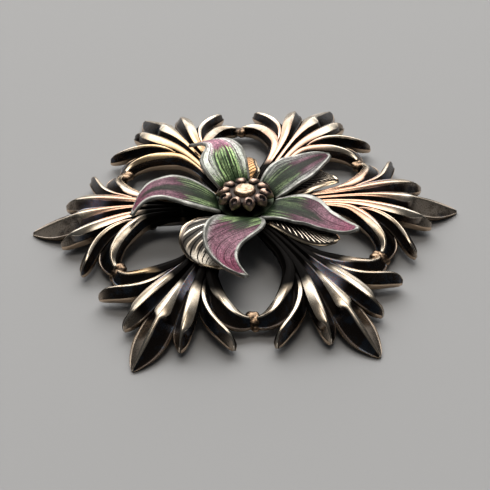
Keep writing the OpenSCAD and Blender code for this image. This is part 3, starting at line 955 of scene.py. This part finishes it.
def model_ring(name, bottom, thick):
    """The middle of a stamped sheet, with the hole that the post goes through."""
    ring = start_cylinder(name, 96, RING_RADIUS * U, thick, bottom)
    pick_ends(ring, 1, -1)
    bpy.ops.mesh.inset(thickness=RING_RADIUS * U - POST_RADIUS - POST_PLAY)
    bpy.ops.mesh.bridge_edge_loops()
    smooth(ring)
    return ring


petal_ring = model_ring("petal_ring", PETAL_BASE, PETAL_THICK)
calyx_ring = model_ring("calyx_ring", CALYX_BASE, CALYX_THICK)
dress([petal_ring], "corolla", [ring_enamel_in_shade])
dress([calyx_ring], "calyx", [plain_silver])


# Stamens: a boss that leans back, ten anthers round it and a button in the middle.
BOSS_BASE = 4.158 * MM
BOSS_RADIUS, BOSS_THICK, BOSS_BEVEL = 9.8, 2.3, 0.9
BOSS_LEAN = -8.5
ANTHERS = 10
ANTHER_RADIUS, ANTHER_RING, FIRST_ANTHER = 2.85, 10.2, -82
ANTHER_UP, ANTHER_DIP, ANTHER_HEIGHT = 1.5, 30, 0.85
# Reach from the middle, side, pinch and push of each pull on an anther: point, then tail.
DROP_STEPS = (
    (0.3, 1, 0.94, 0.05), (0.6, 1, 0.84, 0.09), (0.9, 1, 0.7, 0.12),
    (0.2, -1, 0.95, 0.12), (0.7, -1, 0.85, 0.18))
# Dimple of an anther, in shares of its radius: where it starts, how far in and down its
# two steps go, and how far the second is shifted outward.
DIMPLE_FROM, DIMPLE_IN, DIMPLE_DEEP, DIMPLE_SHIFT = 0.84, 0.1, 0.28, 0.12
BUTTON_RADIUS, BUTTON_FLARE, BUTTON_TOP, BUTTON_BEVEL = 4.6, 5.75, 21.7, 1.1
# Rings on the button's top, their gap, and the depth that is made rough.
BUTTON_RINGS, BUTTON_GAP, BUTTON_SKIN, BUTTON_ROUGHNESS = 5, 0.6, 0.4, 0.1


def tilt_with_boss(piece, degrees=0.0):
    """Turns a piece round the axis, then leans and raises it with the boss."""
    edit(piece)
    turn(degrees)
    turn(BOSS_LEAN, axis="X")
    move((0, 0, BOSS_BASE))
    smooth(piece, 50)


def model_anthers():
    """Drop-shaped anthers, each with a dimple on top and its point turned outward."""
    r = ANTHER_RADIUS * U
    first = start("anther_1", bpy.ops.mesh.primitive_uv_sphere_add,
                  segments=36, ring_count=22, radius=r)
    pick_faces(first, lambda middle, normal: middle.z > DIMPLE_FROM * r)
    for shift in (0, DIMPLE_SHIFT):
        bpy.ops.mesh.inset(thickness=DIMPLE_IN * r)
        move((shift * r, 0, -DIMPLE_DEEP * r))
    for reach, side, pinch, push in DROP_STEPS:
        shape = bmesh.from_edit_mesh(first.data)
        shape.verts.ensure_lookup_table()
        pick(first, [v.index for v in shape.verts if v.co.x * side > reach * r])
        stretch((1, pinch, pinch))
        move((side * push * r, 0, 0))
    pick_all()
    stretch((1, 1, ANTHER_HEIGHT))
    turn(ANTHER_DIP, axis="Y")
    move((ANTHER_RING * U, 0, ANTHER_UP * U))
    anthers = [first] + [copy_piece(first, f"anther_{i + 1}") for i in range(1, ANTHERS)]
    for i, anther in enumerate(anthers):
        tilt_with_boss(anther, FIRST_ANTHER + i * 360 / ANTHERS)
    return anthers


def model_button():
    """The button in the middle: a round wall with a rough, slightly domed top."""
    height = BUTTON_TOP * U - BOSS_BASE
    button = start_cylinder("button", 64, BUTTON_FLARE * U, height)
    pick_ends(button, 1)
    bpy.ops.transform.resize(value=(BUTTON_RADIUS / BUTTON_FLARE,) * 2 + (1,))
    bpy.ops.mesh.bevel(offset=BUTTON_BEVEL * U, segments=5)
    pick_ends(button, 1, level=0.98)
    for _ in range(BUTTON_RINGS):
        bpy.ops.mesh.inset(thickness=BUTTON_GAP * U)
    bpy.ops.mesh.poke()
    pick_faces(button, lambda middle, normal: middle.z > height - BUTTON_SKIN * U)
    bpy.ops.transform.vertex_random(offset=BUTTON_ROUGHNESS * U, seed=4)
    tilt_with_boss(button)
    return button


boss = model_drum("boss", 80, BOSS_RADIUS * U, 0, BOSS_THICK, (1,), BOSS_BEVEL, segments=4)
tilt_with_boss(boss)
anthers = model_anthers()
button = model_button()
dress([boss], "stamens", [boss_black])
dress(anthers, "stamens", [bronze])
dress([button], "stamens", [button_gold])


# Pin on the back: a hinge with a round barrel, a hooked catch and a stem that tapers
# to its point.
STEM_RADIUS, STEM_POINT = 0.45 * MM, 0.1 * MM
STEM_HEIGHT = 0.9 * MM
PIN_SPAN, PIN_TOP = 21 * MM, 1.9 * MM
FOOT_LONG, FOOT_WIDE, FOOT_THICK = 2.2 * MM, 1.3 * MM, 0.35 * MM
FOOT_BEVEL, NECK_INSET, NECK_GAP = 0.08 * MM, 0.35 * MM, 0.2 * MM
BARREL_RADIUS, BARREL_LONG = 0.55 * MM, 1.25 * MM
HOOK_RADIUS, HOOK_LONG = 0.58 * MM, 0.9 * MM
BAR_BEVEL = 0.12
STEM_SHORTER, TAPER_LONG = 0.4 * MM, 3.4 * MM
# Length of each part of the taper, and the share of its width that is left at its end.
TAPER = ((1.2 * MM, 0.86), (1.2 * MM, 0.74), (0.9 * MM, STEM_POINT / STEM_RADIUS / 0.64))


def model_round(name, radius, depth, axis, place):
    """A round bar, turned onto an axis and moved to its place."""
    bar = start_cylinder(name, 32, radius, depth, -depth / 2)
    pick_ends(bar, 1, -1)
    bpy.ops.mesh.bevel(offset=BAR_BEVEL * radius, segments=2)
    pick_all()
    turn(90, axis=axis)
    move(place)
    return bar


def model_foot(name, at):
    """The plate that holds a fitting to the back, with a neck drawn down from its middle."""
    foot = start(name, bpy.ops.mesh.primitive_cube_add, size=1)
    stretch((FOOT_LONG, FOOT_WIDE, FOOT_THICK))
    move((at, 0, PIN_TOP - FOOT_THICK / 2))
    bpy.ops.mesh.bevel(offset=FOOT_BEVEL, segments=2)
    pick_ends(foot, -1)
    bpy.ops.mesh.inset(thickness=NECK_INSET)
    neck = STEM_HEIGHT + NECK_GAP - (PIN_TOP - FOOT_THICK)
    bpy.ops.mesh.extrude_region_move(TRANSFORM_OT_translate={"value": (0, 0, neck)})
    return foot


def model_fitting(name, side, radius, long, axis):
    """The hinge or the catch: a foot with a round bar under it, at one end of the pin."""
    at = side * PIN_SPAN / 2
    foot = model_foot(name, at)
    return join([foot, model_round("bar", radius, long, axis, (at, 0, STEM_HEIGHT))], name)


def model_stem():
    """The stem, drawn out to a point at the catch."""
    length = PIN_SPAN - STEM_SHORTER
    stem = model_round("pin_stem", STEM_RADIUS, length, "Y", (0, 0, STEM_HEIGHT))
    pick_faces(stem, lambda middle, normal: middle.x > 0.49 * length)
    bpy.ops.mesh.delete(type="FACE")
    bpy.ops.mesh.select_non_manifold(extend=False)
    move((-TAPER_LONG, 0, 0))
    for reach, share in TAPER:
        bpy.ops.mesh.extrude_region_move(TRANSFORM_OT_translate={"value": (reach, 0, 0)})
        bpy.ops.transform.resize(value=(1, share, share))
    bpy.ops.mesh.edge_face_add()
    return stem


hinge = model_fitting("pin_hinge", -1, BARREL_RADIUS, BARREL_LONG, "X")
catch = model_fitting("pin_catch", 1, HOOK_RADIUS, HOOK_LONG, "Y")
stem = model_stem()
for fitting in (hinge, catch, stem):
    smooth(fitting)
dress([hinge, catch, stem], "pin_fitting", [steel])


# Floor, light and camera.
FLOOR_SIZE = 3.0
PAPER = (0.47, 0.473, 0.48, 1)
SKY, SKY_STRENGTH = (0.9, 0.95, 1.0, 1), 0.05
# Softboxes: place, width and height, watts and colour. All of them face the brooch.
LIGHTS = {
    "softbox": ((0, 1.38, 1.38), (4.0, 1.9), 105, (1.0, 0.985, 0.96)),
    "back_glow": ((0, 2.3, 0.5), (4.6, 0.8), 24, (1.0, 0.98, 0.95)),
    "overhead": ((0, 0, 1.5), (0.9, 0.65), 8, (1.0, 0.93, 0.84))}
# Share of the way from a softbox's middle to its sides where it glows fully, and not at all.
GLOW_FULL, GLOW_GONE = 0.375, 1.15

floor = start("floor", bpy.ops.mesh.primitive_plane_add, size=FLOOR_SIZE)
to_object_mode()
paper = Finish("floor_paper")
paper.set(Base_Color=PAPER, Roughness=0.9)
floor.data.materials.append(paper.material)

world = bpy.data.worlds.new("studio")
bpy.context.scene.world = world
world.use_nodes = True
sky = world.node_tree.nodes["Background"].inputs
sky["Color"].default_value = SKY
sky["Strength"].default_value = SKY_STRENGTH


def soft_light(name, place, size, watts, colour):
    """A softbox whose glow fades from the middle of its face to the edge."""
    deselect_all()
    bpy.ops.object.light_add(type="AREA", location=place)
    box = bpy.context.object
    box.name = name
    box.rotation_euler = (Vector() - Vector(place)).to_track_quat("-Z", "Y").to_euler()
    lamp = box.data
    lamp.shape, lamp.energy, lamp.color = "RECTANGLE", watts, colour
    lamp.size, lamp.size_y = size
    lamp.use_nodes = True
    face = Nodes(lamp.node_tree)
    spot = face.node("ShaderNodeNewGeometry").outputs["Parametric"]
    off_middle = face.vector("SUBTRACT", spot, (0.5, 0.5, 0))
    far = face.vector("LENGTH", face.vector("MULTIPLY", off_middle, (2, 2, 0)))
    glow = face.tree.nodes["Emission"].inputs["Strength"]
    face.put(face.step(far, GLOW_GONE, GLOW_FULL), glow)


for name, settings in LIGHTS.items():
    soft_light(name, *settings)

# Camera, from the photo.
PHOTO_WIDTH = 490
FOCAL_PX = 935.8
ELEVATION = math.radians(42.653)
ROLL = math.radians(2.063)
AROUND = math.radians(-1.4456)
DISTANCE = 4.3098 * TIP_RADIUS
SENSOR_WIDTH = 36
NEAREST, FARTHEST = 0.005, 20
TARGET = Vector((-0.0076, -0.1452, 0.0)) * TIP_RADIUS

forward = Vector((0, math.cos(ELEVATION), -math.sin(ELEVATION)))
upward = Vector((0, math.sin(ELEVATION), math.cos(ELEVATION)))
right = Vector((1, 0, 0))
across = right * math.cos(ROLL) - upward * math.sin(ROLL)
above = right * math.sin(ROLL) + upward * math.cos(ROLL)
place = TARGET - forward * DISTANCE
stand = Matrix.Rotation(AROUND, 4, "Z")
pose = Matrix((
    (across.x, above.x, -forward.x, place.x),
    (across.y, above.y, -forward.y, place.y),
    (across.z, above.z, -forward.z, place.z),
    (0, 0, 0, 1)))
deselect_all()
bpy.ops.object.camera_add()
camera = bpy.context.object
camera.name = "camera"
camera.matrix_world = stand @ pose
camera.data.sensor_width = SENSOR_WIDTH
camera.data.lens = FOCAL_PX / PHOTO_WIDTH * SENSOR_WIDTH
camera.data.clip_start, camera.data.clip_end = NEAREST, FARTHEST
bpy.context.scene.camera = camera
bpy.context.scene.view_settings.view_transform = "Standard"
